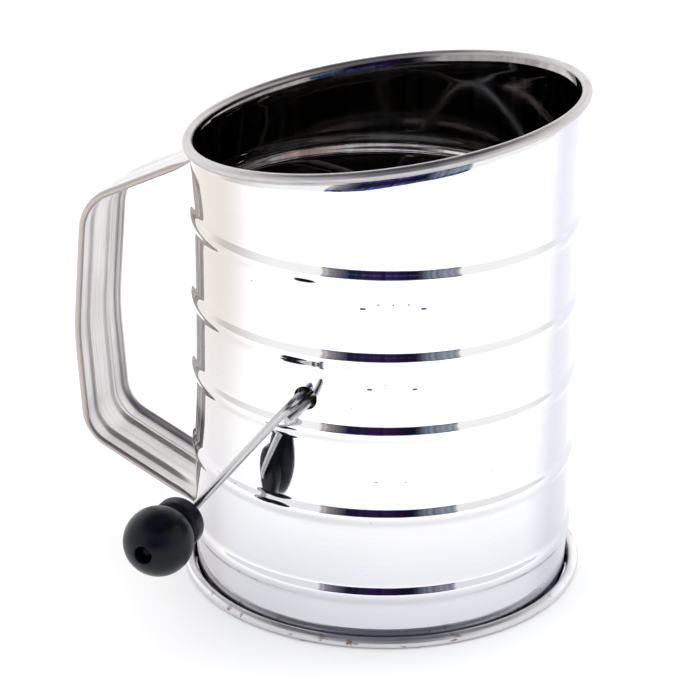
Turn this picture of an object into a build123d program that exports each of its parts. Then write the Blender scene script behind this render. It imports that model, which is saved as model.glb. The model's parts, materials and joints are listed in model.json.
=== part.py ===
from build123d import *
import os
from math import cos, degrees, pi, radians, sin, sqrt, tan

os.makedirs("parts", exist_ok=True)

# Hand-cranked flour sifter for three cups of flour, in millimetres.
# Frame: Z up, origin where the body's axis meets the table, handle towards -X,
# crank towards -Y, and the mouth's high pouring side towards +X.

# ---- body sheet ----
body_r = 55.7  # outside radius of the plain wall
wall = 0.5  # sheet thickness
bead_steps = (15.3, 24.8, 25.6, 22.3, 24.5)  # from the table to the first bead, then bead to bead
bead_height = 0.9  # how far a bead stands out of the wall
bead_width = 5.2  # a bead's width at the wall
rim_above_bead = 28.75  # from the top bead to the rolled edge, on the body's axis
rim_slope_deg = 8.78  # how far the mouth's plane leans
rim_turn_deg = 4.5  # direction of the mouth's high side, round from +X towards +Y
rim_curl_r = 1.5  # radius of the rolled edge at the mouth
rim_flare = 0.2  # how far the sheet steps out under the rolled edge
foot_curl_r = 1.6  # radius of the rolled edge that the sifter stands on
foot_gap = 0.7  # groove between the wall and the raw edge of the foot's roll
seam_width = 5.0  # lap of the body's side seam, behind the handle
seam_step = 0.2  # how far the lap stands in from the wall

# ---- level marks, raised on the wall to the right of the crank ----
mark_deg = -64.5  # direction of the marks around the body
mark_height = 3.8
mark_stroke = 1.1
mark_pitch = 4.2
mark_relief = 0.35
mark_drops = (14.7, 8.6, 9.0)  # from the bead above each mark down to the mark's middle

# ---- crank and stirring wires ----
axle_rise = 9.5  # from the bead that holds the screen up to the crank's axis
wire_r = 1.25  # the crank wire
cross_wire_r = 1.0  # the second stirring wire
pair_gap = 0.2  # between the two strands that lie side by side in the hole
hole_clearance = 0.9  # between the pair of strands and the hole
bow_clearance = 1.55  # between the stirring bows and the screen
bow_inset = 9.7  # from the wall's outside to a bow's start
loop_deg = 135.0  # direction of the crank wire's first bow, up from +X in the XZ plane
crank_throw = 50.0  # from the crank's axis to the knob's
crank_deg = 230.0  # direction of the crank's arm at rest, up from +X in the XZ plane
elbow_out = 7.8  # from the wall to the arm's inner bend
arm_lean = 2.5  # how much further out the arm's outer bend lies
crank_bend_r = 3.2
stub_out = 14.0  # the wire's cut end, beyond the wall
hairpin_out = 3.6  # where the far hairpin starts to turn, beyond the wall
wrap_pitch = 1.9  # between the turns of the second wire around the pair
wrap_clearance = 0.1

# ---- knob ----
ball_r = 10.0
collar_r = 7.5
collar_length = 6.6
collar_fillet = 1.9
neck_r = 5.9
knob_back = 15.0  # from the ball's centre to the collar's back face
knob_stand_off = 28.3  # from the wall to the ball's centre
bore_clearance = 0.25
recess_r = 2.6
recess_depth = 4.2
recess_clearance = 0.2
washer_thickness = 0.6
head_clearance = 0.1
head_r = 1.9  # the wire's peened end
head_length = 1.1

# ---- screen ----
cloth = 0.5  # thickness over the wires of the woven cloth
cloth_inset = 1.3  # from the wall's inside to the cloth's edge
cloth_turn_drop = 0.4  # where the dome meets its upright edge, below the hoop's bead
hoop_height = 5.2
hoop_fit = 0.15  # clearance of the hoop in the wall and its bead
hoop_sheet = 0.45
hoop_slot = 0.05  # clearance each side of the cloth's edge in the hoop
hoop_split_deg = 8.0  # opening in the hoop where the side seam passes

# ---- handle ----
strap_width = 28.0
strap_sheet = 0.8
hem_depth = 2.2  # rolled edges of the strap
hem_width = 2.2
rib_width = 3.4
rib_height = 0.7
rib_y = 5.4  # distance of each pressed rib from the strap's middle
grip_out = 40.6  # from the wall to the outside of the grip
grip_z = 62.0
corner_out = (37.3, 38.0)  # from the wall to the strap's top and bottom outside corners
corner_below_rim = 27.8  # the top corner, below the low side of the mouth
corner_z = 27.9  # the bottom corner
root_below_rim = 7.0  # the strap's top root, below the low side of the mouth
root_z = 9.9  # the strap's bottom root
root_bite = 2.7  # how far the roots run in before they are trimmed to the wall
corner_radii = (17.0, 90.0, 12.5)
tab_width = 26.0
tab_reach = 2.0  # from a tab's end to the centre of the rolled edge that covers it
handle_fit = 0.05  # clearance between the strap and the wall

# ---- sizes worked out from these ----
bead_z = [sum(bead_steps[: i + 1]) for i in range(len(bead_steps))]
inner_r = body_r - wall
rim_mid_z = bead_z[-1] + rim_above_bead
rim_slope = radians(rim_slope_deg)
rim_turn = radians(rim_turn_deg)
rim_ring_r = inner_r + rim_flare + rim_curl_r
rim_low_z = rim_mid_z - rim_ring_r * tan(rim_slope)
foot_ring_r = body_r + foot_gap + foot_curl_r
bead_arc_r = (bead_height**2 + (bead_width / 2) ** 2) / (2 * bead_height)
bead_arc_x = body_r + bead_height - bead_arc_r
hoop_z = bead_z[2]
axle_z = hoop_z + axle_rise
cloth_edge_r = inner_r - cloth_inset
cloth_join_z = hoop_z - cloth_turn_drop
screen_r = sqrt(cloth_edge_r**2 + (axle_z - cloth_join_z) ** 2)
pair_offset = wire_r + pair_gap / 2
pair_reach = pair_offset + wire_r
bow_reach = screen_r - cloth - bow_clearance - wire_r
bow_half_span = body_r - bow_inset
bow_bend_r = bow_reach - bow_half_span - pair_offset
knob_x = crank_throw * cos(radians(crank_deg))
knob_z = axle_z + crank_throw * sin(radians(crank_deg))
knob_y = -(body_r + knob_stand_off)
recess_y = knob_y - ball_r + recess_depth
washer_y = recess_y - head_clearance - washer_thickness


def side_plane(direction_deg):
    """The upright plane through Z that faces one direction, its x pointing outwards."""
    turn = radians(direction_deg)
    return Plane((0, 0, 0), x_dir=(cos(turn), sin(turn), 0), z_dir=(sin(turn), -cos(turn), 0))


def arc_deg(length):
    """The angle that a length takes up around the wall."""
    return degrees(length / body_r)


def wall_section(thickness):
    """Adds the wall's section, with its beads, to the sketch in progress."""
    top = 2 * rim_mid_z
    with Locations((body_r - thickness / 2, top / 2)):
        Rectangle(thickness, top)
    with Locations(*[(bead_arc_x, z) for z in bead_z]):
        Circle(bead_arc_r)
        Circle(bead_arc_r - thickness, mode=Mode.SUBTRACT)
    with Locations((body_r - thickness - bead_arc_r, top / 2)):
        Rectangle(2 * bead_arc_r, top, mode=Mode.SUBTRACT)


# ---- body shell: wall with five beads, rolled foot, rolled slanted mouth ----
rim_plane = Plane(
    (0, 0, rim_mid_z),
    x_dir=(cos(rim_slope) * cos(rim_turn), cos(rim_slope) * sin(rim_turn), sin(rim_slope)),
    z_dir=(-sin(rim_slope) * cos(rim_turn), -sin(rim_slope) * sin(rim_turn), cos(rim_slope)),
)
rim_across = (sin(rim_turn), -cos(rim_turn), 0)
seam_deg = arc_deg(seam_width)

with BuildPart() as body_shell:
    with BuildSketch(Plane.XZ):
        wall_section(wall)
        # the foot: the sheet turns out flat, then rolls up and over, short of the wall
        with Locations((foot_ring_r, foot_curl_r)):
            Circle(foot_curl_r)
            Circle(foot_curl_r - wall, mode=Mode.SUBTRACT)
        with Locations((foot_ring_r - foot_curl_r / 2, foot_curl_r / 2)):
            Rectangle(foot_curl_r, foot_curl_r, mode=Mode.SUBTRACT)
        with Locations((body_r - wall / 2, foot_curl_r / 2)):
            Rectangle(wall, foot_curl_r)
        with Locations(((inner_r + foot_ring_r) / 2, wall / 2)):
            Rectangle(foot_ring_r - inner_r, wall)
    revolve(axis=Axis.Z)
    # the side seam: a flattened lap that stands a little way in, behind the handle
    with BuildSketch(side_plane(180 - seam_deg / 2)):
        wall_section(wall + seam_step)
    revolve(axis=Axis.Z, revolution_arc=seam_deg)
    split(bisect_by=rim_plane, keep=Keep.BOTTOM)
    # the mouth: the sheet steps out a little, then rolls outwards
    with BuildLine(rim_plane) as rim_line:
        EllipticalCenterArc((0, 0), rim_ring_r / cos(rim_slope), rim_ring_r, 0, arc_size=360)
    with BuildSketch(Plane(rim_line.line @ 0, x_dir=rim_plane.x_dir, z_dir=rim_across)):
        Circle(rim_curl_r)
        Circle(rim_curl_r - wall, mode=Mode.SUBTRACT)
        with Locations((-rim_curl_r / 2, -rim_curl_r / 2)):
            Rectangle(rim_curl_r, rim_curl_r, mode=Mode.SUBTRACT)
        with Locations((-rim_curl_r + wall / 2, -rim_curl_r / 2)):
            Rectangle(wall, rim_curl_r)
    sweep(path=rim_line.line)
    # the level marks: as many strokes as cups, between two dashes
    for cups in (1, 2, 3):
        mark_z = bead_z[cups + 1] - mark_drops[cups - 1]
        for stroke in range(-1, cups + 1):
            is_dash = stroke in (-1, cups)
            tall = mark_stroke if is_dash else mark_height
            wide = 2 * mark_stroke if is_dash else mark_stroke
            direction = mark_deg + (stroke - (cups - 1) / 2) * arc_deg(mark_pitch)
            with Locations(side_plane(direction) * Location((body_r, mark_z, 0))):
                Box(2 * mark_relief, tall, wide)
    # the holes that the crank's two strands turn in
    with Locations((0, 0, axle_z)):
        Cylinder(pair_reach + hole_clearance, 3 * body_r, rotation=(90, 0, 0), mode=Mode.SUBTRACT)
body_shell.part.label = "body_shell"
export_step(body_shell.part, "parts/body_shell.step")


# ---- screen hoop: a split channel that snaps into the middle bead ----
hoop_top = hoop_z + hoop_height / 2
hoop_outer_r = inner_r - hoop_fit
leg_outer_r = cloth_edge_r + hoop_slot
leg_inner_r = cloth_edge_r - cloth - hoop_slot
hoop_inner_r = leg_inner_r - hoop_sheet

with BuildPart() as screen_hoop:
    with BuildSketch(side_plane(180 - hoop_split_deg / 2)):
        with Locations((bead_arc_x, hoop_z)):
            Circle(bead_arc_r - wall - hoop_fit)
        with Locations((leg_outer_r - bead_arc_r, hoop_z)):
            Rectangle(2 * bead_arc_r, 2 * bead_arc_r, mode=Mode.SUBTRACT)
        with Locations(((leg_outer_r + hoop_outer_r) / 2, hoop_z)):
            Rectangle(hoop_outer_r - leg_outer_r, hoop_height)
        with Locations((leg_inner_r - hoop_sheet / 2, (cloth_join_z + hoop_slot + hoop_top) / 2)):
            Rectangle(hoop_sheet, hoop_top - cloth_join_z - hoop_slot)
        with Locations(((hoop_inner_r + hoop_outer_r) / 2, hoop_top - hoop_sheet / 2)):
            Rectangle(hoop_outer_r - hoop_inner_r, hoop_sheet)
    revolve(axis=Axis.Z, revolution_arc=-(360 - hoop_split_deg))
screen_hoop.part.label = "screen_hoop"
export_step(screen_hoop.part, "parts/screen_hoop.step")


# ---- screen cloth: a woven dome, its edge turned up into the hoop ----
cloth_top = hoop_top - hoop_sheet - hoop_slot

with BuildPart() as screen_cloth:
    with BuildSketch(Plane.XZ):
        with Locations((0, axle_z)):
            Circle(screen_r)
            Circle(screen_r - cloth, mode=Mode.SUBTRACT)
        with Locations((-screen_r, axle_z)):
            Rectangle(2 * screen_r, 3 * screen_r, mode=Mode.SUBTRACT)
        with Locations((0, cloth_join_z + screen_r)):
            Rectangle(3 * screen_r, 2 * screen_r, mode=Mode.SUBTRACT)
        with Locations((cloth_edge_r - cloth / 2, (cloth_join_z + cloth_top) / 2)):
            Rectangle(cloth, cloth_top - cloth_join_z)
    revolve(axis=Axis.Z)
screen_cloth.part.label = "screen_cloth"
export_step(screen_cloth.part, "parts/screen_cloth.step")


# ---- handle strap: a pressed strap with rolled edges and two ribs ----
strap_corners = [
    (-(body_r - root_bite), rim_low_z - root_below_rim),
    (-(body_r + corner_out[0]), rim_low_z - corner_below_rim),
    (-(body_r + grip_out), grip_z),
    (-(body_r + corner_out[1]), corner_z),
    (-(body_r - root_bite), root_z),
]


edge_y = (strap_width - hem_width) / 2
strap_layers = [
    (strap_sheet, strap_width, 0),
    (hem_depth, hem_width, -edge_y),
    (hem_depth, hem_width, edge_y),
    (strap_sheet + rib_height, rib_width, -rib_y),
    (strap_sheet + rib_height, rib_width, rib_y),
]

with BuildPart() as handle_strap:
    for thickness, width, middle in strap_layers:
        with BuildSketch(Plane.XZ.offset(-middle)):
            with BuildLine():
                outside = FilletPolyline(*strap_corners, radius=list(corner_radii))
                offset(outside, amount=thickness, side=Side.LEFT)
            make_face()
        extrude(amount=width / 2, both=True)
    # the roots are trimmed to the wall and its beads
    with BuildSketch(Plane.XZ):
        with Locations(((body_r + handle_fit) / 2, rim_mid_z)):
            Rectangle(body_r + handle_fit, 2 * rim_mid_z)
        with Locations(*[(bead_arc_x, z) for z in bead_z]):
            Circle(bead_arc_r + handle_fit)
    revolve(axis=Axis.Z, mode=Mode.SUBTRACT)
    # a tab at each end lies on the wall, tucked under the rolled edge
    tab_deg = arc_deg(tab_width)
    tab_spans = [
        (foot_curl_r + tab_reach, root_z + root_bite),
        (rim_low_z - root_below_rim - root_bite, rim_low_z - tab_reach),
    ]
    for low, high in tab_spans:
        with BuildSketch(side_plane(180 - tab_deg / 2)):
            with Locations((body_r + handle_fit + strap_sheet / 2, (low + high) / 2)):
                Rectangle(strap_sheet, high - low)
        revolve(axis=Axis.Z, revolution_arc=tab_deg)
handle_strap.part.label = "handle_strap"
export_step(handle_strap.part, "parts/handle_strap.step")


# ---- crank wire: knob axle, arm, and a loop of two stirring bows ----
def in_loop(direction_deg, y, reach):
    """A point at y along the crank's axis and at a reach from it in one direction."""
    turn = radians(direction_deg)
    return (reach * cos(turn), y, axle_z + reach * sin(turn))


def loop_arc(direction_deg, centre_y, centre_reach, radius, start_deg, end_deg):
    """An arc in the plane of a bow, its angles measured up from the crank's axis."""
    points = []
    for angle_deg in (start_deg, (start_deg + end_deg) / 2, end_deg):
        turn = radians(angle_deg)
        y = centre_y + radius * cos(turn)
        points.append(in_loop(direction_deg, y, centre_reach + radius * sin(turn)))
    return ThreePointArc(*points)


def bow(direction_deg):
    """A bow of the crank wire: a bend, half a circle and another bend."""
    start_reach = pair_offset + bow_bend_r
    near_y = -(bow_half_span + bow_bend_r)
    loop_arc(direction_deg, near_y, start_reach, bow_bend_r, -90, 0)
    loop_arc(direction_deg, 0, start_reach, bow_half_span, 180, 0)
    loop_arc(direction_deg, -near_y, start_reach, bow_bend_r, 180, 270)


strand_end = bow_half_span + bow_bend_r
elbow_y = -(body_r + elbow_out)
hairpin_y = body_r + hairpin_out
first_strand = in_loop(loop_deg, elbow_y + 2 * crank_bend_r, pair_offset)
elbow = in_loop(loop_deg, elbow_y, pair_offset)
axle_bend = (knob_x, elbow_y - arm_lean, knob_z)
axle_end = (knob_x, washer_y - head_length / 2, knob_z)

with BuildPart() as crank_wire:
    with BuildLine():
        FilletPolyline(axle_end, axle_bend, elbow, first_strand, radius=crank_bend_r)
        Line(first_strand, in_loop(loop_deg, -strand_end, pair_offset))
        bow(loop_deg)
        Line(in_loop(loop_deg, strand_end, pair_offset), in_loop(loop_deg, hairpin_y, pair_offset))
        loop_arc(loop_deg, hairpin_y, 0, pair_offset, 90, -90)
        Line(in_loop(loop_deg, hairpin_y, -pair_offset), in_loop(loop_deg, strand_end, -pair_offset))
        bow(loop_deg + 180)
        Line(
            in_loop(loop_deg, -strand_end, -pair_offset),
            in_loop(loop_deg, -(body_r + stub_out), -pair_offset),
        )
    with BuildSketch(Plane(axle_end, z_dir=(0, 1, 0))):
        Circle(wire_r)
    sweep()
    # the axle's peened end
    with BuildSketch(Plane((knob_x, washer_y, knob_z), z_dir=(0, -1, 0))):
        Circle(head_r)
    extrude(amount=head_length)
crank_wire.part.label = "crank_wire"
export_step(crank_wire.part, "parts/crank_wire.step")


# ---- cross wire: two more bows, its turns wrapped around the pair of strands ----
wrap_r = pair_reach + wrap_clearance + cross_wire_r
wrap_y = strand_end + cross_wire_r
cross_radius = (wrap_y**2 + (bow_reach - wrap_r) ** 2) / (2 * (bow_reach - wrap_r))

with BuildPart() as cross_wire:
    for direction_deg in (loop_deg - 90, loop_deg + 90):
        near_end = in_loop(direction_deg, -wrap_y, wrap_r)
        with BuildLine():
            cross_bow = ThreePointArc(
                near_end, in_loop(direction_deg, 0, bow_reach), in_loop(direction_deg, wrap_y, wrap_r)
            )
        with BuildSketch(Plane(near_end, z_dir=cross_bow % 0)):
            Circle(cross_wire_r)
        sweep(path=cross_bow)
    turns_y = [side * (wrap_y + step) for side in (-1, 1) for step in (0, wrap_pitch)]
    with BuildSketch(Plane.XY.offset(axle_z)):
        with Locations(*[(wrap_r, y) for y in turns_y]):
            Circle(cross_wire_r)
    revolve(axis=Axis((0, 0, axle_z), (0, 1, 0)))
cross_wire.part.label = "cross_wire"
export_step(cross_wire.part, "parts/cross_wire.step")


# ---- knob washer: it holds the knob on, under the peened end of its axle ----
with BuildPart() as knob_washer:
    with BuildSketch(Plane((knob_x, washer_y, knob_z), z_dir=(0, 1, 0))):
        Circle(recess_r - recess_clearance)
        Circle(wire_r, mode=Mode.SUBTRACT)
    extrude(amount=washer_thickness)
knob_washer.part.label = "knob_washer"
export_step(knob_washer.part, "parts/knob_washer.step")


# ---- knob: a ball on a round-edged collar, free to spin on its axle ----
with BuildPart(Plane((knob_x, knob_y, knob_z), x_dir=(1, 0, 0), z_dir=(0, -1, 0))) as knob:
    with Locations((0, 0, -knob_back + collar_length / 2)):
        Cylinder(collar_r, collar_length)
    fillet(knob.edges().filter_by(GeomType.CIRCLE), collar_fillet)
    with Locations((0, 0, -knob_back / 2)):
        Cylinder(neck_r, knob_back - collar_length)
    Sphere(ball_r)
    with Locations((0, 0, ball_r - recess_depth / 2)):
        Cylinder(recess_r, recess_depth, mode=Mode.SUBTRACT)
    Cylinder(wire_r + bore_clearance, 3 * knob_back, mode=Mode.SUBTRACT)
knob.part.label = "knob"
export_step(knob.part, "parts/knob.step")
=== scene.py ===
# %% [markdown]
# # A hand-cranked flour sifter
# The CAD model is loaded first, and it fixes every size and place: the cup's radius, the height of the
# crank's axis, the knob's centre. What is made here is the look of each piece. Lengths are written in
# millimetres, as a maker would read them off a drawing, and multiplied by MM to give Blender's metres.

# %% Load the CAD frame
import json

import bmesh
import bpy
import numpy as np
from mathutils import Matrix, Vector

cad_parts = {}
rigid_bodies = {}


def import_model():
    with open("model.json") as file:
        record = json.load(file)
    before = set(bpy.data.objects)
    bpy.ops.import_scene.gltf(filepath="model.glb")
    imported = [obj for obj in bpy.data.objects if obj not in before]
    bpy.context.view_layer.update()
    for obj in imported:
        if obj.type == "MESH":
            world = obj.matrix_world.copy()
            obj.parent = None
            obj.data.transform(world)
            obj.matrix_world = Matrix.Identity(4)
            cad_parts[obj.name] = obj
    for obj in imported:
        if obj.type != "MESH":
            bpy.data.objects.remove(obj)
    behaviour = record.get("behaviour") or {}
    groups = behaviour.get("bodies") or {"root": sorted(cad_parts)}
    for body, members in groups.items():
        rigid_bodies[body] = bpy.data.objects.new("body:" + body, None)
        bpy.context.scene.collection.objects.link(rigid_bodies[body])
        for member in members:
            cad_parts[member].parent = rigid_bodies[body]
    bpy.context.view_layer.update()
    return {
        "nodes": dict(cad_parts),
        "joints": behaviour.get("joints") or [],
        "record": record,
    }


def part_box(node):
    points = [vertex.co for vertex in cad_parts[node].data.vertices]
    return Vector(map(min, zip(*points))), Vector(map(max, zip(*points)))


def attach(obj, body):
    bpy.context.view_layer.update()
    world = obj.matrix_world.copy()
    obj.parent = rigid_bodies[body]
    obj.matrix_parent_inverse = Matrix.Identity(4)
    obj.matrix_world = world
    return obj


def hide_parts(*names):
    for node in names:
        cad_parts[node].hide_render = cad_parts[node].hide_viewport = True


# Nothing but this object is in the scene: whatever Blender starts with is removed first.
for leftover in list(bpy.data.objects):
    bpy.data.objects.remove(leftover)
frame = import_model()
MM = 0.001
record = frame["record"]
joints = {joint["name"]: joint for joint in frame["joints"]}
mounts = {mount["name"]: mount for mount in record["mounts"]}
print("nodes:", ", ".join(sorted(frame["nodes"])))

# %% Read the driving sizes from the frame, in millimetres
crank_centre = np.array(joints["crank_turn"]["pos_m"]) / MM
knob_centre = np.array(joints["knob_spin"]["pos_m"]) / MM
axle_z = crank_centre[2]
inner_r = mounts["mouth"]["dims"]["r_mm"]
cup_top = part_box("body_shell")[1][2] / MM
print(f"cup {2 * inner_r:.1f} mm across inside, {cup_top:.1f} mm tall, axle at {axle_z:.1f} mm")

# %% [markdown]
# ## Two ways to make a surface
# Every new piece is a surface with two parameters. `grid_faces` joins neighbours in a grid of points into
# four-sided faces and `sheet_mesh` makes them a piece; further down, `tube` carries a circle along a path.
# They work on whole arrays, so a surface of a hundred thousand faces is made in a moment.

# %% Grid helpers
def grid_faces(rows, columns, close_rows=False, close_columns=False):
    """Four-sided faces of a grid of rows x columns points, numbered row by row, as an (n, 4) array."""
    i = np.arange(rows if close_rows else rows - 1)[:, None]
    j = np.arange(columns if close_columns else columns - 1)[None, :]
    i2, j2 = (i + 1) % rows, (j + 1) % columns
    corners = [i * columns + j, i * columns + j2, i2 * columns + j2, i2 * columns + j]
    return np.stack([c + 0 * (i + j) for c in corners], -1).reshape(-1, 4)


def sheet_mesh(name, points, faces, sharp_deg=40.0, finish=None, lay=None):
    """A smooth-shaded mesh from points in millimetres and four-sided faces: doubles are merged and the faces
    turned outwards. `finish` is a material number per face, `lay` a vector per point."""
    mesh = bpy.data.meshes.new(name)
    mesh.from_pydata((np.asarray(points, float).reshape(-1, 3) * MM).tolist(), [], np.asarray(faces).tolist())
    if finish is not None:
        mesh.polygons.foreach_set("material_index", np.asarray(finish, dtype=np.int32))
    if lay is not None:
        layer = mesh.attributes.new("lay", "FLOAT_VECTOR", "POINT")
        layer.data.foreach_set("vector", np.asarray(lay, dtype=np.float32).ravel())
    work = bmesh.new()
    work.from_mesh(mesh)
    bmesh.ops.remove_doubles(work, verts=work.verts, dist=0.002 * MM)
    bmesh.ops.recalc_face_normals(work, faces=work.faces)
    work.to_mesh(mesh)
    open_edges = sum(edge.is_boundary for edge in work.edges)
    work.free()
    mesh.shade_smooth()
    mesh.set_sharp_from_angle(angle=np.radians(sharp_deg))
    piece = bpy.data.objects.new(name, mesh)
    bpy.context.scene.collection.objects.link(piece)
    print(f"{name}: {len(mesh.vertices)} vertices, {len(mesh.polygons)} faces, {open_edges} open edges")
    return piece


def smooth_step(x):
    """0 below 0, 1 above 1, and an S-shaped curve with level ends between."""
    x = np.clip(x, 0, 1)
    return x * x * x * (x * (6 * x - 15) + 10)


def arc(centre, radius, start_deg, end_deg, count):
    """Points of an arc in a plane, as (count, 2)."""
    turn = np.radians(np.linspace(start_deg, end_deg, count))
    return np.stack([centre[0] + radius * np.cos(turn), centre[1] + radius * np.sin(turn)], -1)


def unit(v):
    """A vector, or each of an array of vectors, at length 1."""
    return v / np.linalg.norm(v, axis=-1, keepdims=True)


# %% [markdown]
# ## The cup's wall
# The real cup is one strip of stainless sheet, half a millimetre thick. It is rolled into a cylinder,
# lapped and welded behind the handle, and five beads are pressed out of it to stiffen it. The middle bead
# holds the screen's hoop. The mouth is cut on a slant and rolled outwards, and the foot is turned out
# flat and rolled up. It could be a turned curve with modifiers. A formula for the radius at
# each angle and height is better here, because a mirror shows every small error of slope: the beads,
# the neck under the mouth's roll and the slight waviness of real sheet are all one smooth function.

# %% The wall's sizes, in millimetres
wall = 0.5
body_r = inner_r + wall
bead_z = axle_z - 9.5 + np.array([-50.4, -25.6, 0.0, 22.3, 46.8])
bead_height, bead_reach = 0.9, 3.4
rim_mid_z, rim_tan, rim_turn = bead_z[4] + 28.75, np.tan(np.radians(8.78)), np.radians(4.5)
curl_r, rim_ring_r = 1.5, body_r + 1.2
neck_length, neck_depth, flare_length = 6.3, 2.2, 1.7
foot_r, foot_ring_r = 1.6, body_r + 2.3
hole_r, seam_half, seam_step = 3.5, 2.5, 0.2
neck_swell, wave_height, relief_height = 0.5, 0.006, 0.2
mark_z, mark_mid, mark_pitch = bead_z[[2, 3, 4]] - (14.7, 8.6, 9.0), -64.5, 4.2
print("beads at", bead_z.round(1), "mm; marks at", mark_z.round(1), "mm")


# %% The wall's radius at each angle and height
def rim_height(turn):
    """Height of the middle of the rolled mouth: a slanted plane, highest a little round from +X."""
    return rim_mid_z + rim_ring_r * np.cos(turn - rim_turn) * rim_tan


def soft_edge(distance, half, blur=0.8):
    """1 within `half` of the middle and 0 outside, with a soft edge."""
    return smooth_step((half + blur / 2 - np.abs(distance)) / blur)


def mark_relief(turn, z):
    """The level marks: for each number of cups, as many upright strokes between two dashes."""
    relief = np.zeros(np.broadcast(turn, z).shape)
    for cups, middle in enumerate(mark_z, 1):
        for stroke in range(-1, cups + 1):
            around = (turn - np.radians(mark_mid)) * body_r - (stroke - (cups - 1) / 2) * mark_pitch
            dash = stroke in (-1, cups)
            relief += soft_edge(around, 1.1 if dash else 0.55) * soft_edge(z - middle, 0.55 if dash else 1.9)
    return relief_height * relief


def wall_radius(turn, z):
    """Outside radius: the plain wall, plus a squared cosine for each bead and a slight swell under the mouth,
    minus a neck that grows with the cube of the way up and then flares to meet the roll, plus a few long,
    very low waves."""
    radius = body_r + 0 * turn * z
    for middle in bead_z:
        radius += bead_height * np.cos(np.pi / 2 * np.clip(np.abs(z - middle) / bead_reach, 0, 1)) ** 2
    below = rim_height(turn) - z
    radius += neck_swell * smooth_step((20 - below) / 11)
    length = neck_length + 0.8 * np.sin(5 * turn + 1.0) + 0.4 * np.sin(13 * turn)
    way_up = np.clip(1 - below / length, 0, 1 - flare_length / neck_length)
    radius -= neck_depth * way_up**3
    radius += smooth_step(1 - below / flare_length) * (rim_ring_r - curl_r + wall - radius)
    waves = np.sin(7 * turn + z / 17) + 0.7 * np.sin(19 * turn - z / 9 + 1) + 0.5 * np.sin(31 * turn + z / 5)
    return radius + wave_height * waves * smooth_step((z - 4) / 6) * smooth_step((below - 5) / 6)


# %% Columns and rows, close together only where the shape is fine
columns_deg = np.concatenate([
    np.arange(-178, -96, 1.8), np.arange(-96, -84, 1.0), np.arange(-84, -78, 1.5),
    np.arange(-78, -51, 0.4), np.arange(-51, 84, 1.8), np.arange(84, 96, 1.0),
    np.arange(96, 176, 1.8), np.arange(176, 181.9, 0.5)])
turns = np.radians(columns_deg)[None, :]


def merged(values, least):
    """Sorted values, without any that lies within `least` of the one before."""
    values = np.sort(np.concatenate(values))
    return values[np.concatenate([[True], np.diff(values) > least])]


top_rows = rim_mid_z - np.array([
    8.2, 7.4, 6.6, 5.8, 5.2, 4.7, 4.2, 3.8, 3.4, 3.0, 2.6, 2.2, 1.8, 1.5, 1.2, 0.9, 0.5, 0.0])
least_row = 0.18
mark_reach, mark_row, bead_rows = 2.4, 0.4, bead_reach + 0.2
window = 5.2
window_z = merged([
    axle_z + np.linspace(-window, window, 9),
    np.arange(mark_z[1] - mark_reach, axle_z + window, mark_row)], least_row)


def with_window(values):
    """The rows outside the window for the crank's holes, and inside it the same ones on both sides."""
    values = np.concatenate(values)
    return merged([values[np.abs(values - axle_z) > window + 0.2], window_z], least_row)


outer_z = with_window(
    [np.array([0.9, 1.5, 2.6, 4.5]), top_rows, np.arange(7.5, 130, 5.0)]
    + [b + np.linspace(-bead_rows, bead_rows, 17) for b in bead_z]
    + [m + np.arange(-mark_reach, mark_reach + 0.1, mark_row) for m in mark_z])
inner_z = with_window(
    [np.array([0.9, 2.6]), top_rows[::2], np.arange(9, 130, 9.0)]
    + [b + np.linspace(-bead_rows, bead_rows, 9) for b in bead_z])
stretch_from = bead_z[4] + 4


def stretched(z, turn):
    """Rows above the top bead are drawn up or down so that the last one lies in the slanted mouth."""
    share = np.clip((z - stretch_from) / (rim_mid_z - stretch_from), 0, None)
    return z + share * (rim_height(turn) - rim_mid_z)


print(f"{len(columns_deg)} columns, {len(outer_z)} outer and {len(inner_z)} inner rows")


# %% Join the rows: foot, outside, rolled mouth, inside
def level_rows(profile):
    """Rows of the turned foot: (radius, height) pairs, the same at each angle."""
    return np.stack([profile[:, :1] + 0 * turns, profile[:, 1:] + 0 * turns])


def wall_rows(z, inside):
    """Rows of the wall as (radius, height). The inside is one wall in, and steps in again at the lap."""
    z = stretched(z[:, None], turns)
    if not inside:
        return np.stack([wall_radius(turns, z) + mark_relief(turns, z), z + 0 * turns])
    lap = soft_edge((np.abs(turns) - np.pi) * body_r, seam_half, 0.4)
    lap = lap * smooth_step((rim_height(turns) - z - 2) / 2)
    return np.stack([wall_radius(turns, z) - wall - seam_step * lap, z + 0 * turns])


foot_roll = np.concatenate([
    [[body_r - wall, 0.35], [body_r - wall + 0.3, 0.0], [body_r + 0.8, 0.0]],
    arc((foot_ring_r, foot_r), foot_r, -90, 182, 30), arc((foot_ring_r, foot_r), foot_r - wall, 182, -90, 16),
    [[body_r + 0.35, wall], [body_r, wall + 0.12]]])
roll = np.concatenate([arc((0, 0), curl_r - wall, 165, -128, 18), arc((0, 0), curl_r, -130, 170, 30)])
roll_rows = np.stack([rim_ring_r + roll[:, :1] + 0 * turns, rim_height(turns) + roll[:, 1:]])
rows = np.concatenate([
    level_rows(foot_roll), wall_rows(outer_z, False), roll_rows, wall_rows(inner_z[::-1], True)], axis=1)
wall_points = np.stack([rows[0] * np.cos(turns), rows[0] * np.sin(turns), rows[1]], -1)
row_count = len(wall_points)
wall_faces = grid_faces(row_count, len(columns_deg), close_rows=True, close_columns=True)
first_outer = len(foot_roll)
first_inner = first_outer + len(outer_z) + len(roll)
face_row = wall_faces[:, 0] // len(columns_deg)
mouth_row = first_outer + len(outer_z)
face_finish = np.where(face_row >= first_inner - 1, 1, 0)
face_finish[(face_row < first_outer - 3) | ((face_row >= mouth_row - 1) & (face_row < first_inner - 1))] = 2
print(f"wall grid: {row_count} rows")


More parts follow.
